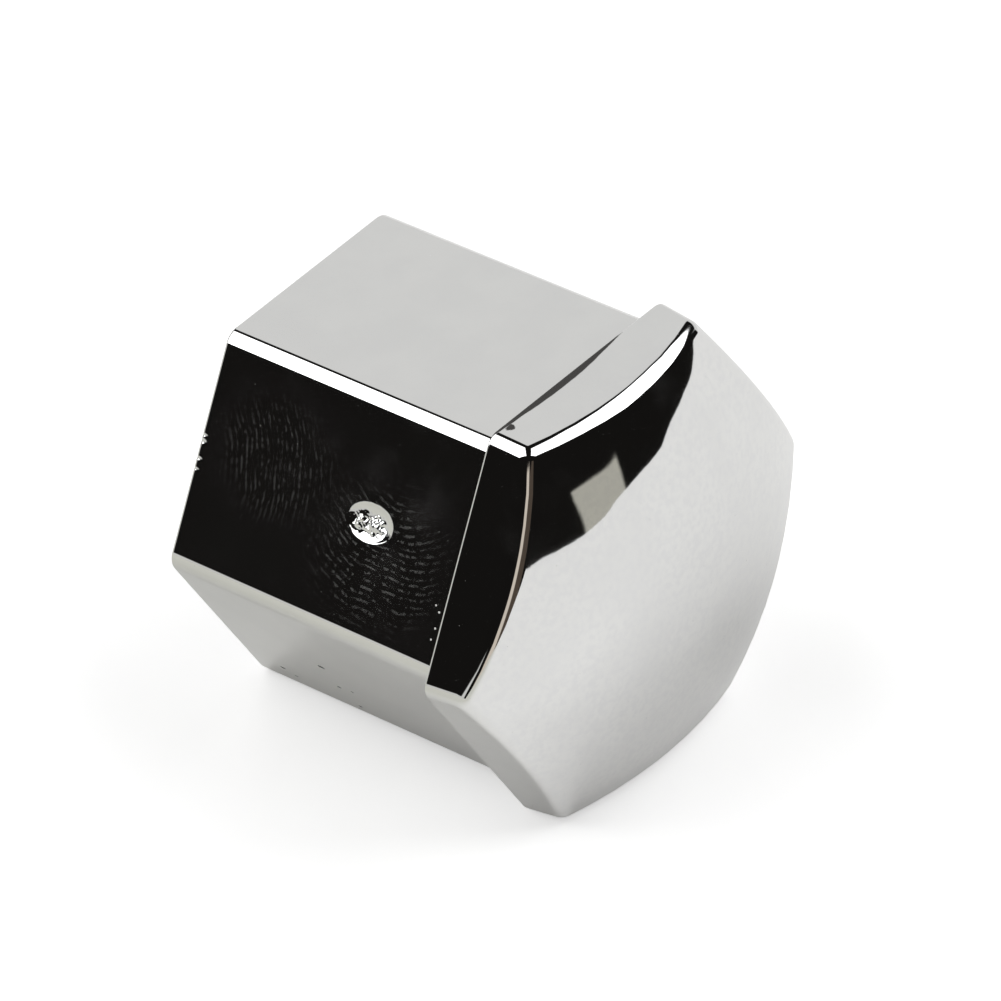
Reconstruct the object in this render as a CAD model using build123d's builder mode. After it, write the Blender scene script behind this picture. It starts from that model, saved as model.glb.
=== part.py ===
"""Wheel nut cap: a chromed, one-piece moulded hexagon cap that pushes over a wheel nut.

Millimetres. The cap's axis is horizontal, as on a wheel: the open rim faces +Y with its centre at the
origin, and the domed head faces -Y. Two flats of the hexagon face straight up and down (+Z and -Z).
The mould parts at the back edge of the head, so the body tapers towards the rim and the head tapers
towards the dome.
"""

import os
from math import cos, radians, sin, tan

from build123d import *

# Nut that the cap fits
nut_across_flats = 19.0
socket_clearance = 0.1        # free gap between each nut flat and its socket flat
rib_bite = 0.15               # how far each crush rib presses into its nut flat
socket_depth = 17.4           # from the rim to the ledge that stops on the nut

# Body
wall = 1.4                    # side wall at the rim
body_length = 18.24           # from the rim to the back of the head
body_draft = 0.5              # degrees, wider towards the head
body_corner_radius = 1.1
rim_edge_radius = 0.15

# Head
head_overhang = 1.02          # how far the head's back edge stands out from the body's flats
head_draft = 5.2              # degrees, narrower towards the dome
head_corner_radius = 1.0
dome_edge_radius = 1.0
back_edge_radius = 0.15
dome_radius = 26.4
dome_rise = 6.35              # from the back of the head to the crown of the dome

# Socket
socket_draft = 0.15           # degrees, narrower towards the ledge
socket_corner_radius = 0.5
lead_in = 0.45                # chamfer round the mouth
ledge_width = 1.3             # flat ring that stops on the nut
roof_wall = 2.0               # thickness of the dome over the cored pocket
pocket_corner_radius = 1.5
rib_width = 1.1
rib_setback = 2.5             # from the rim to the start of each crush rib

# Scar where the moulding was cut off its runner, in the middle of one flat
gate_distance = 11.74         # from the rim
gate_length = 2.9             # along the cap
gate_width = 2.1
gate_depth = 0.22
stub_diameter = 1.0
stub_below_flat = 0.06        # how far the torn stub stays under the flat

# Hexagon: its first corner points along +X, so the first flat faces half a step further round
sides = 6
first_flat = 180 / sides      # degrees

# Sizes that follow from the ones above
socket_apothem = nut_across_flats / 2 + socket_clearance
body_apothem = socket_apothem + wall
head_apothem = body_apothem + body_length * tan(radians(body_draft)) + head_overhang
crown_height = body_length + dome_rise
dome_centre_height = crown_height - dome_radius
pocket_apothem = socket_apothem - socket_depth * tan(radians(socket_draft)) - ledge_width
rib_height = socket_clearance + rib_bite
rib_round = (rib_height**2 + (rib_width / 2) ** 2) / (2 * rib_height)

# Plane of the open rim: local x is +X, local y is +Z, and heights run towards the dome
axis_dir = Vector(0, -1, 0)
rim = Plane(origin=(0, 0, 0), x_dir=(1, 0, 0), z_dir=axis_dir)
dome_centre = axis_dir * dome_centre_height

# The flat that carries the scar faces up and towards -X
gate_outward = Vector(-cos(radians(first_flat)), 0, sin(radians(first_flat)))
gate_normal = gate_outward * cos(radians(body_draft)) - axis_dir * sin(radians(body_draft))
gate_along = axis_dir * cos(radians(body_draft)) + gate_outward * sin(radians(body_draft))
gate_apothem = body_apothem + gate_distance * tan(radians(body_draft))
gate_point = gate_outward * gate_apothem + axis_dir * gate_distance

# The scar is the dip of a barrel into the flat: round across the cap, and bulged along it
barrel_radius = ((gate_width / 2) ** 2 + gate_depth**2) / (2 * gate_depth)
barrel_axis_height = barrel_radius - gate_depth
scar = Plane(origin=gate_point, x_dir=gate_along, z_dir=gate_along.cross(gate_normal))

os.makedirs("parts", exist_ok=True)

# Head: a tapered hexagon under a dome, with rounded edges
with BuildPart() as head:
    with BuildSketch(rim.offset(body_length)):
        RegularPolygon(head_apothem, sides, major_radius=False)
    extrude(amount=dome_rise)
    draft(head.faces().sort_by(Axis.Y)[1:-1], rim.offset(body_length), head_draft)
    with Locations(dome_centre):
        Sphere(dome_radius, mode=Mode.INTERSECT)
    ends = head.faces().sort_by(Axis.Y)
    fillet(head.edges() - ends[0].edges() - ends[-1].edges(), head_corner_radius)
    fillet(head.faces().filter_by(GeomType.SPHERE).edges(), dome_edge_radius)
    fillet(head.faces().sort_by(Axis.Y)[-1].edges(), back_edge_radius)

# Body: a hexagon that widens a little towards the head
with BuildPart() as body:
    with BuildSketch(rim):
        RegularPolygon(body_apothem, sides, major_radius=False)
    extrude(amount=body_length)
    draft(body.faces().sort_by(Axis.Y)[1:-1], rim, -body_draft)
    ends = body.faces().sort_by(Axis.Y)
    fillet(body.edges() - ends[0].edges() - ends[-1].edges(), body_corner_radius)
    fillet(body.faces().sort_by(Axis.Y)[-1].edges(), rim_edge_radius)

# Core: the shape of the inside, with a groove on each flat that moulds a crush rib
with BuildPart() as core:
    with BuildSketch(rim):
        RegularPolygon(socket_apothem, sides, major_radius=False)
    extrude(amount=socket_depth)
    draft(core.faces().sort_by(Axis.Y)[1:-1], rim, socket_draft)
    ends = core.faces().sort_by(Axis.Y)
    fillet(core.edges() - ends[0].edges() - ends[-1].edges(), socket_corner_radius)
    with BuildSketch(rim.offset(rib_setback)):
        with PolarLocations(socket_apothem - rib_height + rib_round, sides, start_angle=first_flat):
            Circle(rib_round)
    extrude(amount=socket_depth - rib_setback, mode=Mode.SUBTRACT)
    with BuildSketch(rim):
        pocket = RegularPolygon(pocket_apothem, sides, major_radius=False)
        fillet(pocket.vertices(), pocket_corner_radius)
    extrude(amount=crown_height)
    with Locations(dome_centre):
        Sphere(dome_radius - roof_wall, mode=Mode.INTERSECT)

# Cap
with BuildPart() as nut_cap:
    add(head.part)
    add(body.part)
    add(core.part, mode=Mode.SUBTRACT)

    # Lead-in round the mouth of the socket
    mouth = nut_cap.faces().sort_by(Axis.Y)[-1]
    chamfer(mouth.inner_wires()[0].edges(), lead_in)

    # Scar of the gate, with the torn end of the runner in it
    with BuildSketch(scar):
        with BuildLine():
            ThreePointArc((-gate_length / 2, 0), (0, -gate_depth), (gate_length / 2, 0))
            Polyline(
                (gate_length / 2, 0),
                (gate_length / 2, barrel_axis_height),
                (-gate_length / 2, barrel_axis_height),
                (-gate_length / 2, 0),
            )
        make_face()
    revolve(axis=Axis(gate_point + gate_normal * barrel_axis_height, gate_along), mode=Mode.SUBTRACT)
    with BuildSketch(Plane(origin=gate_point - gate_normal * stub_below_flat, z_dir=gate_normal)):
        Circle(stub_diameter / 2)
    extrude(amount=-gate_depth)

nut_cap.part.label = "nut_cap"
export_step(nut_cap.part, "parts/nut_cap.step")
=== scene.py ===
"""Looks of the wheel nut cap: a chromed, one-piece moulded hexagon cap that lies on a pale table.

Sizes are in millimetres until the mesh is made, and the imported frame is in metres. The skin is worked out
in the cap's own coordinates: x is the frame's X, y is the frame's Z, and h is the height from the open rim
towards the dome, which is the frame's -Y.
"""

import bpy
import numpy as np
from mathutils import Matrix, Vector


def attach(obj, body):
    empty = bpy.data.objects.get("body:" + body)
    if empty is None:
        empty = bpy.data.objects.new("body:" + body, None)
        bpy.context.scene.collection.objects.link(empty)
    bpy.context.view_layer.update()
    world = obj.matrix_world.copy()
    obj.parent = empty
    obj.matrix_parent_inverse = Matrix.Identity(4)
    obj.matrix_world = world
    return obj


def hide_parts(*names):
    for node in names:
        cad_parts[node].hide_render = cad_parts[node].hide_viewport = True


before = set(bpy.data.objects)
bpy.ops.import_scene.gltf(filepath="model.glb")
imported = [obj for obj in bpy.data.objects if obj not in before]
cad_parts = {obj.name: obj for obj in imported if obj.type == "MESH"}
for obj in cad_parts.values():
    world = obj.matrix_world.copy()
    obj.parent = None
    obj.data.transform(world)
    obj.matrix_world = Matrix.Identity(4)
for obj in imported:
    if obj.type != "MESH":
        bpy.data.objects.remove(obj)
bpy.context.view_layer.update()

# Sizes of the cap in millimetres, angles in radians
MM = 0.001
SIDES = 6
STEP = 2 * np.pi / SIDES
FIRST_FLAT = STEP / 2
HALF_SIDE = np.tan(STEP / 2)          # half a hexagon's side for an apothem of 1

BODY_LENGTH = 18.24
BODY_APOTHEM = 11.0
BODY_DRAFT = np.radians(0.5)
BODY_CORNER = 1.1
RIM_EDGE = 0.15

HEAD_DRAFT = np.radians(5.2)
HEAD_OVERHANG = 1.02                  # from the body's flats to the head's back edge
HEAD_APOTHEM = BODY_APOTHEM + BODY_LENGTH * np.tan(BODY_DRAFT) + HEAD_OVERHANG
HEAD_ROUND = 1.0                      # ball that rounds the head's corners and the dome's edge
BACK_EDGE = 0.15
SHOULDER_ROUND = 0.12
DOME_RADIUS = 26.4
DOME_RISE = 6.35                      # from the back of the head to the crown
CROWN = BODY_LENGTH + DOME_RISE
DOME_CENTRE = CROWN - DOME_RADIUS

SOCKET_APOTHEM = 9.6
SOCKET_DEPTH = 17.4
SOCKET_DRAFT = np.radians(0.15)
SOCKET_CORNER = 0.5
LEAD_IN = 0.45
LEDGE_WIDTH = 1.3                     # flat ring that stops on the nut
POCKET_APOTHEM = SOCKET_APOTHEM - SOCKET_DEPTH * np.tan(SOCKET_DRAFT) - LEDGE_WIDTH
POCKET_CORNER = 1.5
ROOF_WALL = 2.0                       # thickness of the dome over the pocket
ROOF_RADIUS = DOME_RADIUS - ROOF_WALL
RIB_HALF = 0.55
RIB_HEIGHT = 0.25
RIB_ROUND = (RIB_HEIGHT**2 + RIB_HALF**2) / (2 * RIB_HEIGHT)
RIB_START = 2.5

GATE_SIDE = 2                         # the flat that carries the scar of the gate
GATE_HEIGHT = 11.74
GATE_HALF_LENGTH = 1.5
GATE_HALF_WIDTH = 1.02
GATE_DEPTH = 0.25

# The skin's own flat coordinate round the cap, in units
SIDE_UNITS = 14                       # from the middle of one flat to the middle of the next
END_UNITS = 6                         # from the middle of a flat to its end
TURN_UNITS = 2                        # round a corner
FLAT_UNIT = 0.96                      # millimetres of flat to one unit

# Wear, and a painted shadow line: side of the hexagon, place across it, height from the rim, half width and
# half height in millimetres
PITS = (
    (3, 4.4, 2.34, 0.13, 0.2),
    (3, 4.85, 3.01, 0.08, 0.12),
    (3, 0.86, 6.76, 0.16, 0.26),
    (3, 3.24, 6.77, 0.08, 0.14),
    (3, 3.09, 7.73, 0.07, 0.1),
    (3, 5.17, 7.22, 0.11, 0.2),
    (1, 5.25, 18.68, 0.28, 0.24),
)
SPECKS = (
    (2, 2.69, 17.05, 0.07, 0.07),
    (2, 2.97, 17.34, 0.06, 0.08),
    (2, 3.84, 17.35, 0.07, 0.07),
    (2, 4.47, 17.28, 0.06, 0.06),
)
FIRST_MARK = (2, -1.2, 5.0, 4.2, 5.0)
SECOND_MARK = (2, 1.4, 12.8, 5.0, 5.4)
# Painted shadow: a dark line along the head's back edge
BACK_EDGE_SHADOW = (1, 1.6, BODY_LENGTH + 0.2, 5.0, 50.0)
PEEL_DEPTH = 0.4e-6                   # metres
WAVE_DEPTH = 3.2e-5                   # metres

UP = np.array([0.0, 0.0, 1.0])

TABLE_REACH = 1.2                     # metres from the cap to the table's other edges
TABLE_FRONT = 0.190                   # metres from the cap to the table's front edge
FRONT_BEARING = 187                   # degrees, the way that edge faces


def sweep_between(a, b, t):
    """Unit vectors on the great circle from a to b.

    Each is sin((1-t)w)/sin(w) times a plus sin(tw)/sin(w) times b, where w is the angle between a and b.
    """
    angle = np.arccos(np.clip((a * b).sum(-1, keepdims=True), -1, 1))
    sine = np.sin(angle)
    apart = sine > 1e-9
    safe = np.where(apart, sine, 1.0)
    swept = (np.sin((1 - t) * angle) * a + np.sin(t * angle) * b) / safe
    return np.where(apart, swept, a + 0 * swept)


def run_round():
    """Columns of the skin, one turn round the hexagon, as three arrays: side, slide and turn.

    Each side is crossed from one end (slide -1) to the other (slide 1). Then the column stays at that end
    and turns (0 to 1) round the corner to the next side. The flat with the scar has columns 0.04 mm apart.
    """
    ends = np.array([0.3, 0.55, 0.8, 1.0])
    rib = np.linspace(-0.105, 0.105, 9)
    plain = np.concatenate([-ends[::-1], rib, ends])
    far_ends = np.array([0.33, 0.5, 0.75, 1.0])
    fine = np.arange(-43, 44) * 0.04 / 5.76
    scarred = np.concatenate([-far_ends[::-1], fine, far_ends])
    turns = np.arange(1, 14) / 14
    slides = [scarred if k == GATE_SIDE else plain for k in range(SIDES)]
    side = np.concatenate([np.full(len(s) + len(turns), k) for k, s in enumerate(slides)])
    slide = np.concatenate([np.append(s, np.ones(len(turns))) for s in slides])
    turn = np.concatenate([np.append(np.zeros(len(s)), turns) for s in slides])
    return side, slide, turn


SIDE, SLIDE, TURN = run_round()
PHI = FIRST_FLAT + STEP * SIDE
OUT = np.stack([np.cos(PHI), np.sin(PHI)], -1)
ALONG = np.stack([-np.sin(PHI), np.cos(PHI)], -1)
SPOKE = OUT + (SLIDE * HALF_SIDE)[:, None] * ALONG
ON_GATE = (SIDE == GATE_SIDE) & (TURN == 0)


def wall_normals(lean):
    """Normals of six flats that lean to the dome by this angle; a corner sweeps between its two flats."""
    level = np.cos(lean)
    here = np.stack([level * np.cos(PHI), level * np.sin(PHI), np.full(len(PHI), np.sin(lean))], -1)
    ahead = PHI + STEP
    there = np.stack([level * np.cos(ahead), level * np.sin(ahead), np.full(len(PHI), np.sin(lean))], -1)
    return sweep_between(here, there, TURN[:, None])


BODY_NORMAL = wall_normals(-BODY_DRAFT)
HEAD_NORMAL = wall_normals(HEAD_DRAFT)
LEVEL_NORMAL = wall_normals(0.0)


def ring(reach, height):
    """Points at this reach along each column's spoke and at this height: (reach * spoke, height)."""
    reach, height = np.broadcast_arrays(reach, height)
    return np.concatenate([reach[..., None] * SPOKE, height[..., None]], -1)


def body_wall(height):
    """Drafted hexagon with round corners: a ball rolls inside the flats, and the skin is its far point."""
    middle = height - BODY_CORNER * BODY_NORMAL[:, 2]
    reach = BODY_APOTHEM + middle * np.tan(BODY_DRAFT) - BODY_CORNER / np.cos(BODY_DRAFT)
    return ring(reach, middle) + BODY_CORNER * BODY_NORMAL


def head_ball(middle):
    """Centre of the ball that rolls inside the head's flats, when it is at this height."""
    reach = HEAD_APOTHEM - (middle - BODY_LENGTH) * np.tan(HEAD_DRAFT) - HEAD_ROUND / np.cos(HEAD_DRAFT)
    return ring(reach, middle)


def dome_edge_height():
    """Height at which the head's ball meets the dome: the upper root of |ball - dome centre| = R - r."""
    slope = np.tan(HEAD_DRAFT)
    start = HEAD_APOTHEM - HEAD_ROUND / np.cos(HEAD_DRAFT)
    stretch = 1 + (SLIDE * HALF_SIDE) ** 2
    lift = BODY_LENGTH - DOME_CENTRE
    square = slope**2 * stretch + 1
    linear = 2 * (lift - start * slope * stretch)
    rest = start**2 * stretch + lift**2 - (DOME_RADIUS - HEAD_ROUND) ** 2
    return BODY_LENGTH + (-linear + np.sqrt(linear**2 - 4 * square * rest)) / (2 * square)


def inner_ring(apothem, radius, height):
    """Rounded hexagon of this apothem and corner radius, at this height."""
    return ring(apothem - radius, height) + radius * LEVEL_NORMAL


def socket_wall(height, ribbed):
    """Drafted socket, with a round crush rib along the middle of each flat where ribbed is 1."""
    apothem = SOCKET_APOTHEM - height * np.tan(SOCKET_DRAFT)
    place = inner_ring(apothem, SOCKET_CORNER, height)
    across = SLIDE * (apothem - SOCKET_CORNER) * HALF_SIDE
    within = np.abs(across) < RIB_HALF
    arc = np.sqrt(np.maximum(RIB_ROUND**2 - across**2, 1e-9))
    rib = np.where(within, arc - (RIB_ROUND - RIB_HEIGHT), 0.0) * ribbed
    slope = np.where(within, -across / arc, 0.0) * ribbed
    place[..., :2] -= rib[..., None] * OUT
    normal = -np.broadcast_to(LEVEL_NORMAL, place.shape).copy()
    normal[..., :2] -= slope[..., None] * ALONG
    return place, normal / np.linalg.norm(normal, axis=-1, keepdims=True)


def value_noise(p, q, pitch, seed):
    """Smooth noise from -1 to 1: random values on a square lattice, joined by smoothstep weights."""
    lattice = np.random.default_rng(seed).uniform(-1, 1, (64, 64))
    u = p / pitch + 32
    v = q / pitch + 32
    i = np.clip(np.floor(u).astype(int), 0, 62)
    j = np.clip(np.floor(v).astype(int), 0, 62)
    s = np.clip(u - i, 0, 1)
    t = np.clip(v - j, 0, 1)
    s = s * s * (3 - 2 * s)
    t = t * t * (3 - 2 * t)
    low = lattice[i, j] * (1 - s) + lattice[i + 1, j] * s
    high = lattice[i, j + 1] * (1 - s) + lattice[i + 1, j + 1] * s
    return low * (1 - t) + high * t


def gate_scar(p, q):
    """Depth of the scar at p along the cap and q across it.

    An oval dish, depth times (1 - e squared), less the torn stub: two low lobes with a ragged top.
    """
    wobble = 1 + 0.05 * value_noise(p, q, 0.5, 3)
    oval = ((p / GATE_HALF_LENGTH) ** 2 + (q / GATE_HALF_WIDTH) ** 2) * wobble
    dish = GATE_DEPTH * np.maximum(1 - oval, 0) ** 0.8
    lobe_a = 0.17 * np.exp(-(((p + 0.62) / 0.36) ** 2) - ((q - 0.12) / 0.42) ** 2)
    lobe_b = 0.17 * np.exp(-(((p - 0.3) / 0.44) ** 2) - ((q - 0.1) / 0.46) ** 2)
    torn = value_noise(p, q, 0.21, 5) + 0.6 * value_noise(p, q, 0.11, 8)
    ragged = 0.055 * torn * np.clip((lobe_a + lobe_b) / 0.1, 0, 1)
    return np.maximum(dish - (lobe_a + lobe_b + ragged) * np.clip(3 * (1 - oval), 0, 1), 0)


def rim_nicks(x, h):
    """Depth of the small chips in the rim's edge: a bell along the edge, fading away from the rim."""
    chips = ((-0.42, 0.08, 0.05), (-0.75, 0.05, 0.03), (0.52, 0.06, 0.04), (1.1, 0.05, 0.025))
    depth = sum(deep * np.exp(-(((x - place) / wide) ** 2)) for place, wide, deep in chips)
    return depth * np.exp(-((h / 0.22) ** 2))


def dented(place, normal, depth, inward):
    """Moves the skin in by depth along inward; there the normal is the cross product of the grid."""
    moved = place + depth[..., None] * inward
    cross = np.cross(np.gradient(moved, axis=1), np.gradient(moved, axis=0))
    cross /= np.maximum(np.linalg.norm(cross, axis=-1, keepdims=True), 1e-12)
    cross *= np.sign((cross * normal).sum(-1, keepdims=True))
    touched = depth > 1e-5
    touched[:, 1:] |= touched[:, :-1]
    touched[:, :-1] |= touched[:, 1:]
    touched[1:] |= touched[:-1]
    touched[:-1] |= touched[1:]
    return moved, np.where(touched[..., None], cross, normal)


def spread(normal, place):
    """The same normals for every row of a band."""
    return np.broadcast_to(normal, place.shape)


def cap_bands():
    """Bands of the closed skin, from the middle of the inner roof, out over the rim, to the dome's crown.

    Each band is a grid of points (rows, columns, 3) and their normals, and starts on the ring where the band
    before it ends, so a sharp edge is two normals on one ring.
    """
    bands = []
    columns = len(SIDE)
    top = np.array([0.0, 0.0, DOME_CENTRE])

    # Inner roof: directions from the dome's centre, swept from the axis to the pocket's wall
    pocket = inner_ring(POCKET_APOTHEM, POCKET_CORNER, np.zeros(columns))
    roof_height = DOME_CENTRE + np.sqrt(ROOF_RADIUS**2 - (pocket[:, :2] ** 2).sum(-1))
    pocket_top = np.concatenate([pocket[:, :2], roof_height[:, None]], -1)
    outer = (pocket_top - top) / ROOF_RADIUS
    t = np.linspace(0, 1, 13)[:, None, None]
    dirs = sweep_between(np.broadcast_to(UP, outer.shape), outer, t)
    bands.append((top + ROOF_RADIUS * dirs, -dirs))

    # Pocket wall, then the ledge that stops on the nut
    t = np.linspace(0, 1, 3)[:, None]
    height = roof_height + (SOCKET_DEPTH - roof_height) * t
    place = inner_ring(POCKET_APOTHEM, POCKET_CORNER, height)
    bands.append((place, spread(-LEVEL_NORMAL, place)))
    deep, deep_normal = socket_wall(np.full((1, columns), SOCKET_DEPTH), 1.0)
    place = np.stack([place[-1], deep[0]])
    bands.append((place, spread(-UP, place)))

    # Socket from the ledge to the mouth, with the ends of the crush ribs, then the lead-in
    height = np.linspace(SOCKET_DEPTH, RIB_START, 7)[:, None] + np.zeros(columns)
    ribbed, ribbed_normal = socket_wall(height, 1.0)
    bands.append((ribbed, ribbed_normal))
    height = np.linspace(RIB_START, LEAD_IN, 3)[:, None] + np.zeros(columns)
    bare, bare_normal = socket_wall(height, 0.0)
    place = np.stack([ribbed[-1], bare[0]])
    bands.append((place, spread(-UP, place)))
    bands.append((bare, bare_normal))
    mouth = inner_ring(SOCKET_APOTHEM + LEAD_IN, SOCKET_CORNER + LEAD_IN, np.zeros(columns))
    place = np.stack([bare[-1], mouth])
    bands.append((place, spread((-LEVEL_NORMAL - UP) / np.sqrt(2), place)))

    # Rim and its outer edge, a quarter round from facing the nut to facing out
    meet = RIM_EDGE * (1 + BODY_NORMAL[:, 2])
    centre = body_wall(meet) - RIM_EDGE * BODY_NORMAL
    place = np.stack([mouth, centre - RIM_EDGE * UP])
    bands.append((place, spread(-UP, place)))
    t = np.linspace(0, 1, 9)[:, None, None]
    dirs = sweep_between(np.broadcast_to(-UP, BODY_NORMAL.shape), BODY_NORMAL, t)
    place = centre + RIM_EDGE * dirs
    x = (place[..., :2] * ALONG).sum(-1)
    depth = np.where(ON_GATE, rim_nicks(x, place[..., 2]), 0.0)
    inward = (UP - BODY_NORMAL) / np.sqrt(2)
    bands.append(dented(place, dirs, depth, inward))

    # Body wall from the rim to the shoulder, with the scar of the gate
    finish = BODY_LENGTH - SHOULDER_ROUND * (1 + BODY_NORMAL[:, 2])
    near_rim = np.array([0.22, 0.3, 0.4, 0.55, 0.8, 2, 4, 6, 8, 9.4])
    scar_rows = GATE_HEIGHT + np.arange(-39, 40) * 0.042
    near_head = np.array([14.2, 15.5, 16.8, 17.6])
    inner = np.concatenate([near_rim, scar_rows, near_head])[:, None] + np.zeros(columns)
    height = np.concatenate([meet[None], inner, finish[None]])
    place = body_wall(height)
    x = (place[..., :2] * ALONG).sum(-1)
    nicks = np.where(ON_GATE, rim_nicks(x, height), 0.0)
    scar = np.where(ON_GATE, gate_scar(height - GATE_HEIGHT, x - 0.05), 0.0)
    inward = np.where((height < 5)[..., None], inward, -BODY_NORMAL)
    bands.append(dented(place, spread(BODY_NORMAL, place), nicks + scar, inward))

    # Shoulder: a hollow round from the body to the head's back, then the back of the head
    centre = body_wall(finish) + SHOULDER_ROUND * BODY_NORMAL
    t = np.linspace(0, 1, 6)[:, None, None]
    dirs = sweep_between(BODY_NORMAL, np.broadcast_to(-UP, BODY_NORMAL.shape), t)
    shoulder = centre - SHOULDER_ROUND * dirs
    bands.append((shoulder, dirs))
    low = BODY_LENGTH + (BACK_EDGE - HEAD_ROUND) * HEAD_NORMAL[:, 2] + BACK_EDGE
    centre = head_ball(low) + (HEAD_ROUND - BACK_EDGE) * HEAD_NORMAL
    place = np.stack([shoulder[-1], centre - BACK_EDGE * UP])
    bands.append((place, spread(-UP, place)))

    # Back edge of the head, then its leaning flats
    t = np.linspace(0, 1, 9)[:, None, None]
    dirs = sweep_between(np.broadcast_to(-UP, HEAD_NORMAL.shape), HEAD_NORMAL, t)
    bands.append((centre + BACK_EDGE * dirs, dirs))
    high = dome_edge_height()
    t = np.linspace(0, 1, 7)[:, None]
    place = head_ball(low + (high - low) * t) + HEAD_ROUND * HEAD_NORMAL
    bands.append((place, spread(HEAD_NORMAL, place)))

    # Edge of the dome: the ball stands still where flat and dome meet, and its normal sweeps across
    centre = head_ball(high)
    dome_normal = (centre - top) / (DOME_RADIUS - HEAD_ROUND)
    t = np.linspace(0, 1, 15)[:, None, None]
    dirs = sweep_between(HEAD_NORMAL, dome_normal, t)
    bands.append((centre + HEAD_ROUND * dirs, dirs))

    # Dome: directions from its centre, swept from its edge to the crown
    t = np.linspace(0, 1, 31)[:, None, None]
    dirs = sweep_between(dome_normal, np.broadcast_to(UP, dome_normal.shape), t)
    bands.append((top + DOME_RADIUS * dirs, dirs))
    return bands


def skin_mesh(name, bands):
    """Welds the bands into one closed mesh: equal points become one vertex, and faces with no area go."""
    columns = len(SIDE)
    onward = (np.arange(columns) + 1) % columns
    starts = np.cumsum([0] + [len(place) for place, _ in bands])
    rows = np.concatenate([np.arange(a, b - 1) for a, b in zip(starts[:-1], starts[1:])])
    places = np.concatenate([place.reshape(-1, 3) for place, _ in bands])
    normals = np.concatenate([np.asarray(normal).reshape(-1, 3) for _, normal in bands])
    first = rows[:, None] * columns
    corners = np.stack(
        [
            first + np.arange(columns),
            first + onward,
            first + columns + onward,
            first + columns + np.arange(columns),
        ],
        -1,
    ).reshape(-1, 4)

    keys = np.round(places * 1e5).astype(np.int64)
    _, keep, weld = np.unique(keys, axis=0, return_index=True, return_inverse=True)
    weld = weld.reshape(-1)
    welded = weld[corners]
    distinct = welded != np.roll(welded, -1, axis=1)
    sides = distinct.sum(1)
    quads = sides == 4
    triangles = sides == 3
    loops = np.concatenate([corners[quads].reshape(-1), corners[triangles][distinct[triangles]]])
    counts = np.concatenate([np.full(quads.sum(), 4), np.full(triangles.sum(), 3)])

    mesh = bpy.data.meshes.new(name)
    mesh.vertices.add(len(keep))
    world = places[keep][:, [0, 2, 1]] * np.array([1, -1, 1]) * MM
    mesh.vertices.foreach_set("co", world.astype(np.float32).reshape(-1))
    mesh.loops.add(len(loops))
    mesh.loops.foreach_set("vertex_index", weld[loops].astype(np.int32))
    mesh.polygons.add(len(counts))
    loop_start = np.concatenate([[0], np.cumsum(counts)[:-1]])
    mesh.polygons.foreach_set("loop_start", loop_start.astype(np.int32))
    mesh.polygons.foreach_set("use_smooth", np.ones(len(counts), dtype=bool))
    mesh.update()
    loop_normals = normals[loops][:, [0, 2, 1]] * np.array([1, -1, 1])
    mesh.normals_split_custom_set(loop_normals.tolist())

    # Flat coordinates on the skin: units round the cap, and the height from the rim
    round_skin = SIDE_UNITS * SIDE + END_UNITS * SLIDE + TURN_UNITS * TURN
    flat = np.stack([np.tile(round_skin, len(places) // columns), places[:, 2], np.zeros(len(places))], -1)
    skin = mesh.attributes.new("skin", "FLOAT_VECTOR", "POINT")
    skin.data.foreach_set("vector", flat[keep].astype(np.float32).reshape(-1))
    return mesh


def maths(tree):
    """Maker of maths nodes in this node tree: it takes an operation and one or two values or sockets."""
    def make(operation, a, b=None):
        node = tree.nodes.new("ShaderNodeMath")
        node.operation = operation
        for socket, value in zip(node.inputs, (a, b)):
            if value is None:
                continue
            if isinstance(value, (int, float)):
                socket.default_value = value
            else:
                tree.links.new(value, socket)
        return node.outputs[0]

    return make


def ramp_in(tree, value, low, high):
    """Smooth step from 0 at low to 1 at high."""
    node = tree.nodes.new("ShaderNodeMapRange")
    node.interpolation_type = "SMOOTHSTEP"
    tree.links.new(value, node.inputs["Value"])
    node.inputs["From Min"].default_value = low
    node.inputs["From Max"].default_value = high
    return node.outputs["Result"]


def mix_in(tree, factor, under, over):
    """Colour under where factor is 0 and colour over where it is 1; under may be a colour or a socket."""
    node = tree.nodes.new("ShaderNodeMix")
    node.data_type = "RGBA"
    tree.links.new(factor, node.inputs["Factor"])
    if isinstance(under, tuple):
        node.inputs["A"].default_value = under
    else:
        tree.links.new(under, node.inputs["A"])
    node.inputs["B"].default_value = over
    return node.outputs["Result"]


def part_along(tree, vector, direction):
    """Part of a vector along a direction: their dot product."""
    node = tree.nodes.new("ShaderNodeVectorMath")
    node.operation = "DOT_PRODUCT"
    tree.links.new(vector, node.inputs[0])
    node.inputs[1].default_value = direction
    return node.outputs["Value"]


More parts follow.
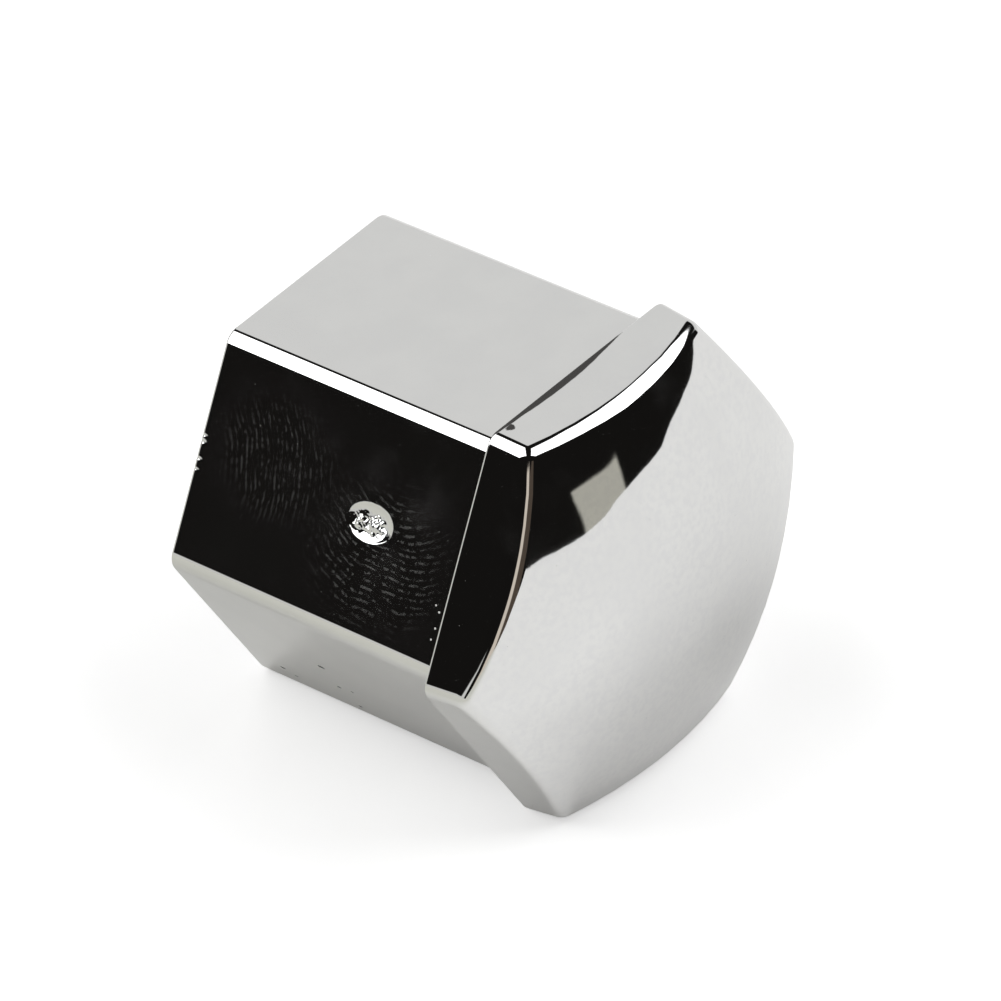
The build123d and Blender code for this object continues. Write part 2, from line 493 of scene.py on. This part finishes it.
def chrome():
    """Bright chrome over plastic, handled and a little worn.

    The plating has a faint orange peel, and the dome is slightly wavy. Finger marks are arcs of broken
    ridges, where a thin film scatters light. Pits are dark and dust specks are pale, and a painted shadow, a
    dark line, runs along the head's back edge.
    """
    material = bpy.data.materials.new("chrome")
    material.use_nodes = True
    tree = material.node_tree
    nodes = tree.nodes
    links = tree.links
    shader = nodes["Principled BSDF"]
    math = maths(tree)

    coords = nodes.new("ShaderNodeTexCoord")
    skin = nodes.new("ShaderNodeAttribute")
    skin.attribute_name = "skin"
    split = nodes.new("ShaderNodeSeparateXYZ")
    links.new(skin.outputs["Vector"], split.inputs[0])
    around = split.outputs["X"]
    height = split.outputs["Y"]

    def noise(scale, detail=2.0):
        node = nodes.new("ShaderNodeTexNoise")
        node.inputs["Scale"].default_value = scale
        node.inputs["Detail"].default_value = detail
        links.new(coords.outputs["Object"], node.inputs["Vector"])
        return node.outputs["Fac"]

    def ramp(value, low, high):
        return ramp_in(tree, value, low, high)

    def fade(value, low, high):
        return math("SUBTRACT", 1.0, ramp(value, low, high))

    def oval(side, x, h, half_x, half_h):
        """Distance from a place on a flat, 1 at the edge of an oval of these half sizes in millimetres."""
        a = math("MULTIPLY", math("SUBTRACT", around, SIDE_UNITS * side + x / FLAT_UNIT), FLAT_UNIT / half_x)
        b = math("DIVIDE", math("SUBTRACT", height, h), half_h)
        return math("SQRT", math("ADD", math("MULTIPLY", a, a), math("MULTIPLY", b, b)))

    def nearest(ovals):
        best = oval(*ovals[0])
        for place in ovals[1:]:
            best = math("MINIMUM", best, oval(*place))
        return best

    cloud = noise(350, 3.0)
    swell = noise(420, 0.0)
    on_dome = ramp(height, BODY_LENGTH + 1.5, BODY_LENGTH + 4.0)
    speckle = noise(2600, 2.0)
    grain = noise(9000, 1.0)

    def finger_mark(place, loop_x, loop_h, pitch):
        """Broken ridges round a loop's middle, a pitch apart, inside an oval that fades out."""
        loop = oval(place[0], loop_x, loop_h, pitch, pitch)
        bent = math("ADD", loop, math("MULTIPLY", cloud, 3.0))
        ridge = ramp(math("SINE", math("MULTIPLY", bent, 2 * np.pi)), -0.1, 0.8)
        dash = ramp(speckle, 0.44, 0.58)
        area = fade(math("ADD", oval(*place), math("MULTIPLY", cloud, 0.4)), 0.6, 1.3)
        return math("MULTIPLY", math("MULTIPLY", ridge, dash), area)

    # Film of handling: two finger marks on the flat with the scar, and faint smudges all over
    first_mark = finger_mark(FIRST_MARK, 1.5, -3.5, 0.32)
    second_mark = finger_mark(SECOND_MARK, -5.0, 13.5, 0.36)
    marks = math("MAXIMUM", math("MULTIPLY", first_mark, 0.75), second_mark)
    smudge = math("MULTIPLY", ramp(cloud, 0.48, 0.75), ramp(noise(120, 1.0), 0.42, 0.62))
    film = math("ADD", math("MULTIPLY", marks, 0.011), math("MULTIPLY", smudge, 0.014))

    # Pits through the plating, and a painted shadow along the back edge of the head's upper flat
    rough_edge = math("MULTIPLY", math("SUBTRACT", speckle, 0.5), 1.6)
    pit = fade(math("ADD", nearest(PITS), rough_edge), 0.7, 1.1)
    along_edge = oval(*BACK_EDGE_SHADOW)
    thick = math("MULTIPLY", math("SUBTRACT", 1.05, math("MULTIPLY", along_edge, along_edge)), 0.33)
    thick = math("ADD", thick, math("MULTIPLY", math("SUBTRACT", cloud, 0.5), 0.35))
    above = math("SUBTRACT", height, BODY_LENGTH + 0.1)
    edge_shadow = math("MULTIPLY", fade(math("SUBTRACT", above, thick), 0.0, 0.05), ramp(above, -0.12, -0.08))
    edge_shadow = math("MULTIPLY", edge_shadow, fade(along_edge, 0.9, 1.05))
    # dark joins the real pits with the painted shadow line along the head's back edge
    dark = math("MAXIMUM", pit, edge_shadow)

    # Dust: named specks, and fine dots here and there
    dust = fade(math("ADD", nearest(SPECKS), rough_edge), 0.7, 1.1)
    dots = math("MULTIPLY", ramp(grain, 0.8, 0.84), 0.5)
    dust = math("MAXIMUM", dust, dots)

    colour = mix_in(tree, ramp(cloud, 0.3, 0.7), (0.88, 0.88, 0.875, 1), (0.855, 0.855, 0.853, 1))
    mottle = math("MULTIPLY", ramp(speckle, 0.35, 0.7), on_dome)
    colour = mix_in(tree, mottle, colour, (0.835, 0.835, 0.84, 1))
    colour = mix_in(tree, dark, colour, (0.03, 0.028, 0.026, 1))
    colour = mix_in(tree, dust, colour, (0.8, 0.8, 0.78, 1))
    links.new(colour, shader.inputs["Base Color"])

    dull = math("MAXIMUM", dark, math("MULTIPLY", dust, 0.9))
    links.new(math("SUBTRACT", 1.0, math("MAXIMUM", film, dull)), shader.inputs["Metallic"])
    gloss = math("ADD", 0.025, math("MULTIPLY", cloud, 0.02))
    gloss = math("ADD", gloss, math("MULTIPLY", marks, 0.06))
    gloss = math("ADD", gloss, math("MULTIPLY", math("MAXIMUM", dark, dust), 0.45))
    links.new(gloss, shader.inputs["Roughness"])

    # Orange peel all over, and a slow wave on the dome
    peel = nodes.new("ShaderNodeBump")
    peel.inputs["Strength"].default_value = 1.0
    peel.inputs["Distance"].default_value = PEEL_DEPTH
    links.new(speckle, peel.inputs["Height"])
    wave = nodes.new("ShaderNodeBump")
    wave.inputs["Strength"].default_value = 1.0
    wave.inputs["Distance"].default_value = WAVE_DEPTH
    links.new(math("MULTIPLY", swell, on_dome), wave.inputs["Height"])
    links.new(peel.outputs["Normal"], wave.inputs["Normal"])
    links.new(wave.outputs["Normal"], shader.inputs["Normal"])
    return material


cap = bpy.data.objects.new("nut_cap_skin", skin_mesh("nut_cap_skin", cap_bands()))
bpy.context.scene.collection.objects.link(cap)
cap.data.materials.append(chrome())
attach(cap, "root")
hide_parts("nut_cap")

# The cap lies on one flat: the table touches the rim's edge and the head's back edge
rest_rim = Vector((0, 0, -BODY_APOTHEM)) * MM
rest_head = Vector((0, -BODY_LENGTH - BACK_EDGE, -HEAD_APOTHEM)) * MM
table_back = (rest_rim - rest_head).normalized()
table_right = Vector((1, 0, 0))
table_up = table_right.cross(table_back)


def toward(bearing):
    """Direction in the table's plane at this bearing in degrees: 0 is the frame's +Y side and 90 is +X."""
    turn = np.radians(bearing)
    return table_back * np.cos(turn) + table_right * np.sin(turn)


def table_sheet():
    """Flat table top under the cap: a grid of places along and across its straight front edge."""
    ahead = np.array([-TABLE_REACH, -0.3, -0.12, -0.05, 0.0, 0.05, 0.12, TABLE_FRONT])
    aside = np.array([-TABLE_REACH, -0.3, -0.12, -0.05, 0.0, 0.05, 0.12, 0.3, TABLE_REACH])
    gap = 0.00002
    middle = np.array(rest_head + rest_rim) / 2 - np.array(table_up) * gap
    front = np.array(toward(FRONT_BEARING))
    right = np.array(toward(FRONT_BEARING - 90))
    place = middle + ahead[:, None, None] * front + aside[:, None] * right
    row = np.arange(len(ahead) - 1)[:, None] * len(aside)
    column = np.arange(len(aside) - 1)
    step = len(aside)
    faces = np.stack([row + column, row + step + column, row + step + column + 1, row + column + 1], -1)
    mesh = bpy.data.meshes.new("table_top")
    mesh.from_pydata(place.reshape(-1, 3).tolist(), [], faces.reshape(-1, 4).tolist())
    return mesh


def table_finish():
    """Pale matt table, its paint darker on the left as a painted shadow: to the camera it is bright white
    with the cap's shadow.
    """
    material = bpy.data.materials.new("table_white")
    material.use_nodes = True
    tree = material.node_tree
    nodes = tree.nodes
    links = tree.links
    nodes.clear()
    output = nodes.new("ShaderNodeOutputMaterial")
    coords = nodes.new("ShaderNodeTexCoord")
    # Painted shadow of the cap: the paint that reflections and bounced light see darkens and warms towards
    # bearing -62
    leftward = part_along(tree, coords.outputs["Object"], toward(-62))
    painted_shadow = ramp_in(tree, leftward, -0.005, 0.03)
    tone = mix_in(tree, painted_shadow, (0.84, 0.84, 0.83, 1), (0.63, 0.63, 0.575, 1))
    paint = nodes.new("ShaderNodeBsdfDiffuse")
    links.new(tone, paint.inputs["Color"])
    lit = nodes.new("ShaderNodeEmission")
    lit.inputs["Strength"].default_value = 0.5
    seen_paint = nodes.new("ShaderNodeBsdfDiffuse")
    seen_paint.inputs["Color"].default_value = (0.7, 0.7, 0.7, 1)
    seen = nodes.new("ShaderNodeAddShader")
    links.new(lit.outputs[0], seen.inputs[0])
    links.new(seen_paint.outputs[0], seen.inputs[1])
    ray = nodes.new("ShaderNodeLightPath")
    mix = nodes.new("ShaderNodeMixShader")
    links.new(ray.outputs["Is Camera Ray"], mix.inputs[0])
    links.new(paint.outputs[0], mix.inputs[1])
    links.new(seen.outputs[0], mix.inputs[2])
    links.new(mix.outputs[0], output.inputs["Surface"])
    return material


table = bpy.data.objects.new("table_top", table_sheet())
bpy.context.scene.collection.objects.link(table)
table.data.materials.append(table_finish())


def studio():
    """Soft studio by direction: dark room, two soft boxes overhead, grey sweep behind, small cards in front.

    Height is the angle over the table, and bearing is the angle round it, 0 towards the frame's +Y and 90
    towards +X, both in degrees. A patch is a product of smooth steps of height and bearing. A soft box is a
    rectangle on a level plane overhead: a direction's parts along and across it, divided by its part upwards.
    """
    world = bpy.data.worlds.new("studio")
    bpy.context.scene.world = world
    world.use_nodes = True
    tree = world.node_tree
    nodes = tree.nodes
    links = tree.links
    nodes.clear()
    math = maths(tree)
    coords = nodes.new("ShaderNodeTexCoord")

    def along(direction):
        return part_along(tree, coords.outputs["Generated"], direction)

    def step(value, at, soft):
        return ramp_in(tree, value, at - soft, at + soft)

    def between(value, low, high, soft):
        return math("MULTIPLY", step(value, low, soft), math("SUBTRACT", 1.0, step(value, high, soft)))

    def patch(low, high, left, right, soft=1.0):
        return math("MULTIPLY", between(height, low, high, soft), between(bearing, left, right, soft))

    height = math("MULTIPLY", math("ARCSINE", along(table_up)), 180 / np.pi)
    bearing = math("MULTIPLY", math("ARCTAN2", along(table_right), along(table_back)), 180 / np.pi)

    def overhead(direction):
        return math("DIVIDE", along(direction), math("MAXIMUM", along(table_up), 0.05))

    def soft_box(low, high, left, right):
        inside = math("MULTIPLY", between(far, low, high, 0.03), between(across, left, right, 0.03))
        return math("MULTIPLY", inside, step(height, 10.0, 1.0))

    far = overhead(toward(47))
    across = overhead(toward(137))
    dark = (0.007, 0.0065, 0.006, 1)
    lamp = (2.7, 2.7, 2.7, 1)
    pale = (0.69, 0.69, 0.68, 1)
    colour = mix_in(tree, soft_box(-0.47, 0.67, -4.0, -0.22), dark, lamp)
    colour = mix_in(tree, soft_box(-0.47, 0.77, 0.34, 4.0), colour, lamp)
    colour = mix_in(tree, patch(-10, 46.0, 29.0, 66.0), colour, pale)
    colour = mix_in(tree, patch(-10, 20.0, 66.0, 114.0), colour, pale)
    colour = mix_in(tree, patch(-10, 2.2, 153.0, 165.6, 0.5), colour, (0.42, 0.41, 0.36, 1))
    colour = mix_in(tree, patch(-10, 8.0, -110.0, -20.0), colour, (0.6, 0.6, 0.58, 1))
    colour = mix_in(tree, patch(-10, 28.0, -166.0, -140.0), colour, (0.075, 0.058, 0.045, 1))
    colour = mix_in(tree, patch(-10, 30.0, -140.0, -124.0), colour, (0.62, 0.55, 0.47, 1))

    seen = nodes.new("ShaderNodeBackground")
    seen.inputs["Color"].default_value = (1, 1, 1, 1)
    room = nodes.new("ShaderNodeBackground")
    links.new(colour, room.inputs["Color"])
    ray = nodes.new("ShaderNodeLightPath")
    mix = nodes.new("ShaderNodeMixShader")
    links.new(ray.outputs["Is Camera Ray"], mix.inputs[0])
    links.new(room.outputs[0], mix.inputs[1])
    links.new(seen.outputs[0], mix.inputs[2])
    output = nodes.new("ShaderNodeOutputWorld")
    links.new(mix.outputs[0], output.inputs["Surface"])


studio()

# Camera at the photograph's place: a long lens about 1.4 m away
camera = bpy.data.objects.new("camera", bpy.data.cameras.new("camera"))
bpy.context.scene.collection.objects.link(camera)
camera.data.sensor_width = 36.0
camera.data.lens = 973.4
camera.data.clip_start = 0.1
camera.data.clip_end = 10.0
view_right = Vector((0.63176612, -0.77109796, -0.07924333))
view_down = Vector((-0.50234435, -0.32941644, -0.79945916))
view_away = Vector((0.59035727, 0.54487866, -0.59547085))
turned = Matrix((view_right, -view_down, -view_away)).transposed()
camera.matrix_world = Matrix.Translation((-0.832092, -0.780116, 0.840364)) @ turned.to_4x4()
bpy.context.scene.camera = camera

bpy.context.scene.view_settings.view_transform = "Standard"
